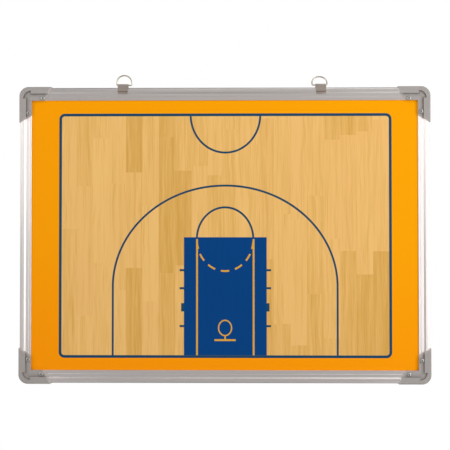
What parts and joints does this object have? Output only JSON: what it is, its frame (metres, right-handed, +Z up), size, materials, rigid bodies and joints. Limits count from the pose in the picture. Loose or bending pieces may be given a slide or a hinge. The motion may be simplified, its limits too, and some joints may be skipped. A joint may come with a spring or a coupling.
{
  "type": "tactics board",
  "caption": "Wall-hung basketball tactics board: printed half-court panel in a ribbed aluminium frame with grey corner caps, hung by D-rings in sliding clips.",
  "frame": {"origin": "on the wall plane behind the caps, on the board's vertical centre line, at the height where the wall hooks carry the upright rings", "axes": "+X along the top rail to the viewer's right, +Y back into the wall, +Z up"},
  "size_m": [0.6156, 0.0186, 0.4624],
  "materials": {
    "anodised_rail": "satin anodised extrusion",
    "cap_plastic": "fine-grained moulded grey plastic",
    "key_plastic": "moulded black plastic",
    "screw_zinc": "bright zinc plate",
    "court_print": "printed dry-erase film",
    "steel_sheet": "thin cold-rolled sheet",
    "core_board": "honeycomb core board",
    "back_sheet": "galvanised sheet",
    "clip_metal": "satin nickel-plated sheet",
    "ring_wire": "nickel-plated wire"
  },
  "bodies": {
    "board": {"top_rail": "anodised_rail", "bottom_rail": "anodised_rail", "left_rail": "anodised_rail", "right_rail": "anodised_rail", "cap_top_left": "cap_plastic", "cap_top_right": "cap_plastic", "cap_bottom_left": "cap_plastic", "cap_bottom_right": "cap_plastic", "key_top_left": "key_plastic", "key_top_right": "key_plastic", "key_bottom_left": "key_plastic", "key_bottom_right": "key_plastic", "cap_screws": "screw_zinc", "print_film": "court_print", "steel_sheet": "steel_sheet", "core_board": "core_board", "back_sheet": "back_sheet"},
    "left_clip": {"left_clip": "clip_metal"},
    "right_clip": {"right_clip": "clip_metal"},
    "left_ring": {"left_ring": "ring_wire"},
    "right_ring": {"right_ring": "ring_wire"}
  },
  "joints": [
    {"name": "left_clip_slide", "type": "slide", "parent": "board", "child": "left_clip", "axis": [1, 0, 0], "range_m": [-0.094, 0.13]},
    {"name": "right_clip_slide", "type": "slide", "parent": "board", "child": "right_clip", "axis": [1, 0, 0], "range_m": [-0.122, 0.102]},
    {"name": "left_ring_swing", "type": "hinge", "parent": "left_clip", "child": "left_ring", "pos_m": [-0.1502, -0.01625, -0.0139], "axis": [1, 0, 0], "range_deg": [-90, 150]},
    {"name": "right_ring_swing", "type": "hinge", "parent": "right_clip", "child": "right_ring", "pos_m": [0.1424, -0.01625, -0.0139], "axis": [1, 0, 0], "range_deg": [-66, 174]}
  ]
}
